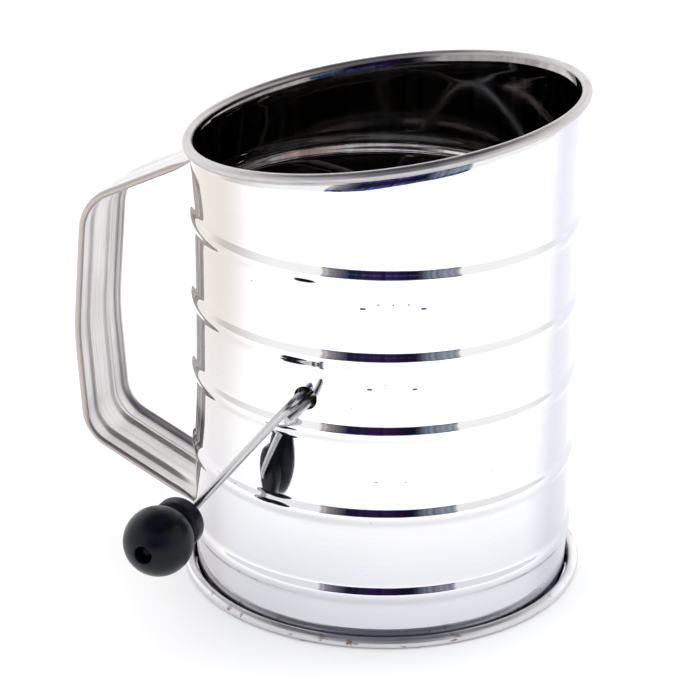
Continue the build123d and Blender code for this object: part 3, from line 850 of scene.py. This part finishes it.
# %% Finish, ride, replace
for piece, finishes, body, slot, replaced in (
        (cup_wall, [polished, inside, rolled], "shell", "polished_steel", "body_shell"),
        (strap, [satin], "shell", "satin_steel", "handle_strap"),
        (crank, [bright, washer_steel], "crank", "bright_wire", "crank_wire"),
        (cross, [painted_shade_wire], "crank", "bright_wire", "cross_wire"),
        (knob, [black], "knob_body", "black_plastic", "knob"),
        (warp, [woven], "shell", "woven_wire", "screen_cloth"),
        (weft, [woven], "shell", "woven_wire", None)):
    for finish in finishes:
        piece.data.materials.append(finish)
    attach(piece, body)
    if replaced:
        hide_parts(replaced)
for name, finish in (("screen_hoop", hoop_steel), ("knob_washer", washer_steel)):
    kept_node = frame["nodes"][name]
    kept_node.data.materials.clear()
    kept_node.data.materials.append(finish)

# %% [markdown]
# ## Floor, light and camera
# A mirror shows the room. The room here is white on every side, like a light tent, so that the cup reads
# as bright steel, and dark overhead, so that the inside of the cup stays dark. The tent is open on the
# camera's side, and the beads and the neck, which lean back, show that opening as short dark dashes.
# The cup's upright wall shows the pale floor.

# %% Floor
floor_half, floor_z = 1.6, -0.00005
floor_mesh = bpy.data.meshes.new("floor")
floor_mesh.from_pydata(
    [(-floor_half, -floor_half, floor_z), (floor_half, -floor_half, floor_z),
     (floor_half, floor_half, floor_z), (-floor_half, floor_half, floor_z)], [], [(0, 1, 2, 3)])
floor = bpy.data.objects.new("floor", floor_mesh)
bpy.context.scene.collection.objects.link(floor)
paper, tree, shader = new_finish("white_paper", Roughness=0.9, Specular_IOR_Level=0.1)
shader.inputs["Base Color"].default_value = (0.93, 0.93, 0.93, 1)
floor.data.materials.append(paper)

# %% Camera: placed by its distance, direction and height, looking at a point inside the cup
aim = Vector((-9.04, -3.93, 67.5)) * MM
camera_turn, camera_rise, camera_roll = np.radians([23.5, 23.70, 0.462])
camera_distance = 0.911
along_floor = np.cos(camera_rise)
away = Vector((
    np.sin(camera_turn) * along_floor, -np.cos(camera_turn) * along_floor, np.sin(camera_rise)))
level = Vector((np.cos(camera_turn), np.sin(camera_turn), 0))
upward = away.cross(level)
right = np.cos(camera_roll) * level + np.sin(camera_roll) * upward
up = np.cos(camera_roll) * upward - np.sin(camera_roll) * level
camera = bpy.data.objects.new("camera", bpy.data.cameras.new("camera"))
camera.data.lens, camera.data.sensor_width = 159.0, 36.0
camera.data.clip_start = 0.01
placing = Matrix((right, up, away)).transposed().to_4x4()
placing.translation = aim + away * camera_distance
camera.matrix_world = placing
bpy.context.scene.collection.objects.link(camera)
bpy.context.scene.camera = camera
print("camera at", [round(v, 3) for v in placing.translation])

# %% The room: bright behind and at the sides, dark above, and open to a dark room on the camera's side
back_level, side_level, ceiling_level = 1.5, 0.95, 0.07
room = bpy.data.worlds.new("room")
bpy.context.scene.world = room
room.use_nodes = True
tree = room.node_tree
tree.nodes.clear()
look = node(tree, "ShaderNodeTexCoord").outputs["Generated"]
part = node(tree, "ShaderNodeSeparateXYZ", {"Vector": look})
minus_y = product(tree, part.outputs["Y"], -1.0)
around = maths(tree, "ARCTAN2", part.outputs["X"], minus_y)
around = maths(tree, "SUBTRACT", around, camera_turn)
above = maths(tree, "ARCSINE", part.outputs["Z"])


def degrees_between(tree, angle, low, high, soft):
    """1 while an angle is between two limits in degrees, with soft edges."""
    low, high, soft = np.radians([low, high, soft])
    return product(
        tree, between(tree, angle, low - soft, low + soft), between(tree, angle, high + soft, high - soft))


opening_left, opening_right, opening_low, opening_high = -36, 43, -12, 38
opening = product(
    tree, degrees_between(tree, around, opening_left, opening_right, 1.2),
    degrees_between(tree, above, opening_low, opening_high, 2.0))
stripes = node(
    tree, "ShaderNodeTexNoise", {"W": around, "Scale": 16.0, "Detail": 4.0, "Roughness": 0.7},
    noise_dimensions="1D").outputs["Fac"]
across_even = node(tree, "ShaderNodeMapRange", {
    "Value": around, "From Min": np.radians(opening_left), "From Max": np.radians(opening_right)}).outputs[0]
backdrop = ramp(
    tree, across_even, (0.0, (0.50, 0.46, 0.44)), (0.13, (0.12, 0.11, 0.14)), (0.2, (0.012, 0.012, 0.03)),
    (0.42, (0.03, 0.01, 0.06)), (0.68, (0.008, 0.005, 0.02)), (0.78, (0.16, 0.19, 0.24)),
    (1.0, (0.30, 0.33, 0.37)))
backdrop = blend_colour(tree, 1.0, backdrop, between(tree, stripes, 0.3, 0.7, 0.6, 1.35), "MULTIPLY")
low_down = degrees_between(tree, above, -14, 3, 3.0)
high_up = between(tree, above, np.radians(18), np.radians(25))
blue = ramp(tree, stripes, (0.40, (0.014, 0.026, 0.10)), (0.62, (0.07, 0.15, 0.40)))
backdrop = blend_colour(tree, low_down, backdrop, blue)
backdrop = blend_colour(tree, high_up, backdrop, blue)
aside = maths(tree, "ABSOLUTE", around)
behind = product(
    tree, between(tree, aside, np.radians(95), np.radians(130)),
    between(tree, aside, np.radians(265), np.radians(230)))
wall_level = between(tree, behind, 0.0, 1.0, side_level, back_level)
ceiling = between(tree, above, np.radians(34), np.radians(54))
level = node(tree, "ShaderNodeMapRange", {
    "Value": ceiling, "From Min": 0.0, "From Max": 1.0,
    "To Min": wall_level, "To Max": ceiling_level}).outputs[0]
tent = node(tree, "ShaderNodeCombineXYZ", {"X": level, "Y": level, "Z": level}).outputs[0]
tent = blend_colour(tree, opening, tent, backdrop)
light = node(tree, "ShaderNodeBackground", {"Color": tent, "Strength": 1.0})
node(tree, "ShaderNodeOutputWorld", {"Surface": light.outputs[0]})

# %% One wide, soft lamp that brightens the floor and stays out of the reflections
lamp = bpy.data.lights.new("soft_lamp", "SUN")
lamp.energy, lamp.angle = 3.0, np.radians(150)
stand = bpy.data.objects.new("soft_lamp", lamp)
stand.visible_glossy = False
bpy.context.scene.collection.objects.link(stand)
bpy.context.scene.view_settings.view_transform = "Standard"
